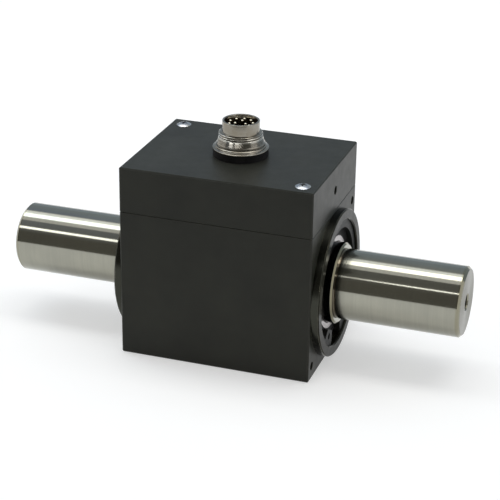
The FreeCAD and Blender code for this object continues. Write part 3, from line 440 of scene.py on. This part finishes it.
def dress_nodes():
    """Gives every node the finish of its slot and the carriers a turned one; returns the finishes."""
    made = {slot: make() for slot, make in FINISH_OF_SLOT.items()}
    for part in frame["record"]["subparts"]:
        dress(nodes[part["node"]], made[part["material_slot"]])
    turned = black_turned()
    for side in ("load", "drive"):
        dress(nodes[f"bearing_carrier_{side}"], turned)
    return made


# Connector shell with its coupling thread, in millimetres above the hood

THREAD_RADIUS = 8.0
THREAD_PITCH = 0.9
THREAD_DEPTH = 0.46
THREAD_LOW = 7.15
THREAD_HIGH = 8.72
THREAD_RUN_IN = 0.25
THREAD_ROWS = 32
CONE_FOOT = (8.56, 5.06)
CONE_TOP = (8.02, 7.05)
CONE_RIDGES = 8
RIDGE_DEPTH = 0.05
STEPS_PER_RIDGE = 4
SLEEVE_RADIUS = 8.0
SLEEVE_LOW = -6.2
BORE_RADIUS = 6.05
FLANGE_LOW = 2.6
SHELL_SIDES = 144
SMOOTH_ANGLE = 40


def cosine_rise(turns):
    """0 at each whole turn and 1 half way between two."""
    return 0.5 - 0.5 * math.cos(2.0 * math.pi * turns)


def cone_outline():
    """Radius and height up the cone under the thread, with fine turned ridges."""
    steps = STEPS_PER_RIDGE * CONE_RIDGES
    outline = []
    for step in range(steps + 1):
        share = step / steps
        radius = CONE_FOOT[0] + share * (CONE_TOP[0] - CONE_FOOT[0])
        height = CONE_FOOT[1] + share * (CONE_TOP[1] - CONE_FOOT[1])
        outline.append((radius - RIDGE_DEPTH * cosine_rise(CONE_RIDGES * share), height))
    return outline


def thread_outline():
    """Radius and height up the threaded collar, before the thread is cut."""
    step = (THREAD_HIGH - THREAD_LOW) / THREAD_ROWS
    return [(THREAD_RADIUS, THREAD_LOW + row * step) for row in range(THREAD_ROWS + 1)]


def shell_outline():
    """Radius and height of the whole outline, from the sleeve in the hood to the rim and the bore."""
    sleeve = [(BORE_RADIUS, SLEEVE_LOW), (SLEEVE_RADIUS, SLEEVE_LOW), (SLEEVE_RADIUS, FLANGE_LOW)]
    flange = [
        (9.95, FLANGE_LOW), (10.15, 2.66), (10.25, 2.8), (10.25, 2.98), (10.21, 3.08),
        (9.80, 3.29), (9.52, 3.33),
    ]
    ledge = [(9.42, 3.38), (9.40, 3.48), (9.40, 3.84), (9.36, 3.93), (8.98, 4.13), (8.82, 4.15)]
    gap = [(8.60, 4.17), (8.54, 4.24), (8.54, 4.42), (8.60, 4.48)]
    bead = [(8.82, 4.52), (8.86, 4.60), (8.86, 4.80), (8.83, 4.88)]
    shoulder = [(7.6, 8.9), (6.9, 8.9)]
    barrel = [(6.82, 8.93), (6.8, 9.05), (6.8, 12.9)]
    rim = [(6.76, 13.02), (6.66, 13.1), (6.2, 13.1), (6.1, 13.04), (BORE_RADIUS, 12.92)]
    below = sleeve + flange + ledge + gap + bead
    return below + cone_outline() + thread_outline() + shoulder + barrel + rim


def thread_cut(height, turn):
    """How far the helical thread lies below its crest at a height and a share of a turn."""
    if not THREAD_LOW <= height <= THREAD_HIGH:
        return 0.0
    above = height - THREAD_LOW
    return THREAD_DEPTH * min(1.0, above / THREAD_RUN_IN) * cosine_rise(above / THREAD_PITCH - turn)


def connector_shell(finishes):
    """Lathe mesh of the shell with a real helical thread, in its finish and with a dull bore."""
    outline = shell_outline()
    mesh = bmesh.new()
    rings = []
    for radius, height in outline:
        ring = []
        for side in range(SHELL_SIDES):
            turn = side / SHELL_SIDES
            reach = (radius - thread_cut(height, turn)) * MM
            angle = 2.0 * math.pi * turn
            place = (reach * math.cos(angle), reach * math.sin(angle), HOOD_TOP + height * MM)
            ring.append(mesh.verts.new(place))
        rings.append(ring)
    for row, ring in enumerate(rings):
        following = rings[(row + 1) % len(rings)]
        for side in range(SHELL_SIDES):
            beside = (side + 1) % SHELL_SIDES
            face = mesh.faces.new((ring[side], ring[beside], following[beside], following[side]))
            face.material_index = 1 if following is rings[0] else 0
    bmesh.ops.recalc_face_normals(mesh, faces=mesh.faces)
    piece = piece_from(mesh, "connector_shell_threaded")
    smooth_by_angle(piece, SMOOTH_ANGLE)
    dress(piece, finishes["nickel_plated_brass"])
    piece.data.materials.append(dulled_nickel())
    return piece


def piece_from(mesh, name):
    """A Blender object made from mesh data."""
    data = bpy.data.meshes.new(name)
    mesh.to_mesh(data)
    mesh.free()
    piece = bpy.data.objects.new(name, data)
    bpy.context.scene.collection.objects.link(piece)
    return piece


def smooth_by_angle(piece, degrees):
    """Smooth shading with sharp edges where faces meet at more than an angle."""
    piece.data.shade_smooth()
    piece.data.set_sharp_from_angle(angle=math.radians(degrees))


# Studio, in metres: angles are degrees from straight up, towards the viewer, round the shaft

FLOOR_SIZE = 6.0
FLOOR_GAP = 0.0002
CARD_HALF_LENGTH = 3.6
CARD_ROWS = 16
CARD_CLIMB = (1.6, 2.6)
CARD_CHANGE = (-1.3, -0.5)
OVERHEAD_DISTANCE = 2.0
STRIP_DISTANCE = 2.3


def seen_directly(tree):
    """1 for rays from the camera, a reflection or glass, 0 for diffuse light."""
    rays = tree.nodes.new("ShaderNodeLightPath")
    total = rays.outputs["Is Camera Ray"]
    for name in ("Is Glossy Ray", "Is Transmission Ray"):
        step = tree.nodes.new("ShaderNodeMath")
        step.use_clamp = True
        tree.links.new(total, step.inputs[0])
        tree.links.new(rays.outputs[name], step.inputs[1])
        total = step.outputs[0]
    return total


def pale_floor():
    """White floor that keeps the object's shadow and bounces warm light on it."""
    material = bpy.data.materials.new("pale_floor")
    material.use_nodes = True
    tree = material.node_tree
    tree.nodes.clear()
    output = tree.nodes.new("ShaderNodeOutputMaterial")
    bounce = tree.nodes.new("ShaderNodeBsdfDiffuse")
    bounce.inputs["Color"].default_value = (0.64, 0.63, 0.55, 1.0)
    shade = tree.nodes.new("ShaderNodeBsdfDiffuse")
    shade.inputs["Color"].default_value = (0.62, 0.62, 0.62, 1.0)
    glow = tree.nodes.new("ShaderNodeEmission")
    glow.inputs["Strength"].default_value = 0.48
    shown = tree.nodes.new("ShaderNodeAddShader")
    mix = tree.nodes.new("ShaderNodeMixShader")
    tree.links.new(shade.outputs[0], shown.inputs[0])
    tree.links.new(glow.outputs[0], shown.inputs[1])
    tree.links.new(seen_directly(tree), mix.inputs["Fac"])
    tree.links.new(bounce.outputs[0], mix.inputs[1])
    tree.links.new(shown.outputs[0], mix.inputs[2])
    tree.links.new(mix.outputs[0], output.inputs["Surface"])
    return material


def add_floor():
    """The floor under the object."""
    mesh = bmesh.new()
    bmesh.ops.create_grid(mesh, x_segments=1, y_segments=1, size=FLOOR_SIZE)
    floor = piece_from(mesh, "floor")
    floor.location.z = -FLOOR_GAP
    dress(floor, pale_floor())


def add_world():
    """White where it is seen; as diffuse light it is a plain room, a little paler behind."""
    world = bpy.data.worlds.new("studio")
    bpy.context.scene.world = world
    world.use_nodes = True
    tree = world.node_tree
    tree.nodes.clear()
    output = tree.nodes.new("ShaderNodeOutputWorld")
    place = tree.nodes.new("ShaderNodeTexCoord")
    parts = tree.nodes.new("ShaderNodeSeparateXYZ")
    depth = tree.nodes.new("ShaderNodeMapRange")
    depth.inputs["From Min"].default_value = -1.0
    depth.inputs["From Max"].default_value = 1.0
    ramp = tree.nodes.new("ShaderNodeValToRGB")
    front, back = ramp.color_ramp.elements
    front.position = 0.30
    front.color = (0.60, 0.59, 0.56, 1.0)
    back.position = 0.68
    back.color = (0.70, 0.72, 0.75, 1.0)
    room = tree.nodes.new("ShaderNodeBackground")
    white = tree.nodes.new("ShaderNodeBackground")
    white.inputs["Color"].default_value = (1.0, 1.0, 1.0, 1.0)
    mix = tree.nodes.new("ShaderNodeMixShader")
    tree.links.new(place.outputs["Generated"], parts.inputs[0])
    tree.links.new(parts.outputs["Y"], depth.inputs["Value"])
    tree.links.new(depth.outputs["Result"], ramp.inputs["Fac"])
    tree.links.new(ramp.outputs["Color"], room.inputs["Color"])
    tree.links.new(seen_directly(tree), mix.inputs["Fac"])
    tree.links.new(room.outputs[0], mix.inputs[1])
    tree.links.new(white.outputs[0], mix.inputs[2])
    tree.links.new(mix.outputs[0], output.inputs["Surface"])


def polar(angle, distance, across=0.0):
    """A point at an angle and distance from the shaft's axis, and so far across along the shaft."""
    lean = math.radians(angle)
    return (across, -distance * math.sin(lean), SHAFT_HEIGHT + distance * math.cos(lean))


def add_card(name, start, end, distance, low, left, right):
    """A curved card along the shaft, unseen by the camera, between two angles.

    It shines as a lit cloth of its colour does. Up to the first height of its climb that is the
    low colour, and above the second one it goes from the left colour to the right one.
    """
    mesh = bmesh.new()
    rows = []
    for step in range(CARD_ROWS + 1):
        _, y, z = polar(start + step * (end - start) / CARD_ROWS, distance)
        height = max(z, 0.0)
        rows.append([mesh.verts.new((x, y, height)) for x in (-CARD_HALF_LENGTH, CARD_HALF_LENGTH)])
    for first, second in zip(rows, rows[1:]):
        mesh.faces.new((first[0], first[1], second[1], second[0]))
    card = piece_from(mesh, name)
    finish = Finish(name + "_cloth", (0.02, 0.02, 0.02), 0.0, 0.9)
    high = finish.ramp(finish.axis("X"), left, right, *CARD_CHANGE)
    climb = finish.ramp(finish.axis("Z"), 0.0, 1.0, *CARD_CLIMB)
    finish.drive("Emission Color", finish.blend(climb, (*low, 1.0), high))
    finish.set("Emission Strength", 1.0)
    dress(card, finish.material)
    card.visible_camera = False


def add_softbox(name, place, aim, size, radiance, colour=(1.0, 1.0, 1.0)):
    """A lamp facing a point on the shaft's axis, with its size across and along the shaft."""
    width, length = size
    data = bpy.data.lights.new(name, "AREA")
    data.shape = "RECTANGLE"
    data.size = length
    data.size_y = width
    data.energy = radiance * math.pi * width * length
    data.color = colour
    lamp = bpy.data.objects.new(name, data)
    bpy.context.scene.collection.objects.link(lamp)
    away = (Vector(place) - Vector((aim, 0.0, SHAFT_HEIGHT))).normalized()
    up = away.cross(Vector((1.0, 0.0, 0.0))).normalized()
    side = up.cross(away)
    turn = Matrix((side, up, away)).transposed()
    lamp.matrix_world = Matrix.Translation(place) @ turn.to_4x4()
    lamp.visible_camera = False


def add_lights():
    """Overhead softboxes, two narrow strips in front, a dark cloth there and a grey one behind."""
    add_softbox("overhead_left", polar(-8.5, OVERHEAD_DISTANCE, -1.45), -1.45, (0.54, 1.3), 3.7,
                (0.84, 0.93, 1.0))
    add_softbox("overhead_right", polar(-8.5, OVERHEAD_DISTANCE, 0.2), 0.2, (0.54, 2.0), 3.9,
                (1.0, 0.99, 0.96))
    add_softbox("overhead_soft", polar(-22.0, OVERHEAD_DISTANCE, -0.3), 0.0, (0.34, 3.2), 1.0,
                (0.86, 0.94, 1.0))
    add_softbox("strip_left", polar(39.6, STRIP_DISTANCE, -1.2), -1.2, (0.28, 0.8), 4.0)
    add_softbox("strip_right", polar(43.3, STRIP_DISTANCE, 0.2), 0.2, (0.12, 1.32), 4.2)
    add_card("dark_card", 13.0, 94.0, 2.8,
             low=(0.13, 0.125, 0.11), left=(0.29, 0.31, 0.34), right=(0.17, 0.17, 0.16))
    add_card("grey_card", -89.0, -30.0, 2.6,
             low=(0.35, 0.41, 0.47), left=(0.30, 0.36, 0.54), right=(0.42, 0.43, 0.44))


def add_camera():
    """The camera that took the photograph: its place, direction, roll and lens."""
    azimuth, elevation, roll = (math.radians(angle) for angle in (18.46, 23.88, 0.82))
    data = bpy.data.cameras.new("camera")
    data.sensor_width = 36.0
    data.lens = 118.3
    data.clip_start = 0.01
    camera = bpy.data.objects.new("camera", data)
    bpy.context.scene.collection.objects.link(camera)
    turn = (Matrix.Rotation(azimuth, 4, "Z")
            @ Matrix.Rotation(math.pi / 2.0 - elevation, 4, "X")
            @ Matrix.Rotation(roll, 4, "Z"))
    place = Vector((180.1, -527.3, 281.8)) * MM
    camera.matrix_world = Matrix.Translation(place) @ turn
    bpy.context.scene.camera = camera


shell = connector_shell(dress_nodes())
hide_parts("connector_shell")
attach(shell, "stator")

add_floor()
add_world()
add_lights()
add_camera()
bpy.context.scene.view_settings.view_transform = "Standard"
